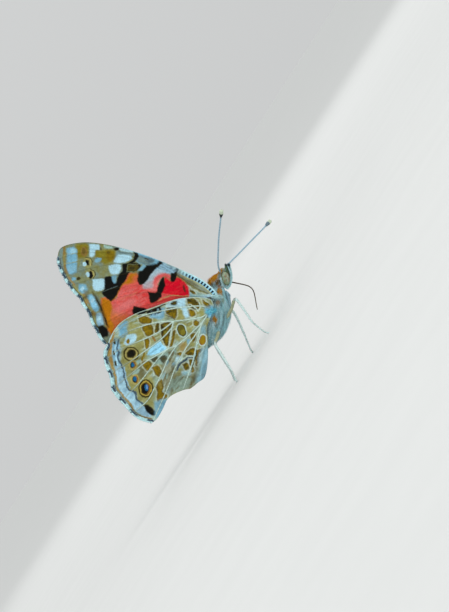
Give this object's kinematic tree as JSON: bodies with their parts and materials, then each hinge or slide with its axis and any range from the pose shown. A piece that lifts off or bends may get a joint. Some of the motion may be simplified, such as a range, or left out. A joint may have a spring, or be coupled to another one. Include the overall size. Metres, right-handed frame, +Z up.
{
  "type": "painted lady butterfly model",
  "caption": "Still life-size painted lady butterfly, standing with its wings closed over its back and its proboscis out.",
  "frame": {"origin": "on the floor under the middle of the whole animal's box", "axes": "+X towards the head, +Y the animal's left side, +Z up; the feet stand on Z = 0"},
  "size_m": [0.0458, 0.0222, 0.0418],
  "materials": {
    "wing_scales": "matt scales in pink, orange, black, brown and white",
    "body_hair": "soft grey-green and fawn hair",
    "eye": "glossy, finely faceted",
    "antenna": "fine scales with pale rings",
    "leg": "pale scales",
    "proboscis": "satin, finely ringed"
  },
  "bodies": {
    "root": {"forewing_R": "wing_scales", "forewing_L": "wing_scales", "hindwing_R": "wing_scales", "hindwing_L": "wing_scales", "thorax": "body_hair", "abdomen": "body_hair", "head": "body_hair", "palp_R": "body_hair", "palp_L": "body_hair", "eye_R": "eye", "eye_L": "eye", "antenna_R": "antenna", "antenna_L": "antenna", "proboscis": "proboscis", "foreleg_R": "leg", "foreleg_L": "leg", "midleg_R": "leg", "midleg_L": "leg", "hindleg_R": "leg", "hindleg_L": "leg"}
  },
  "joints": []
}
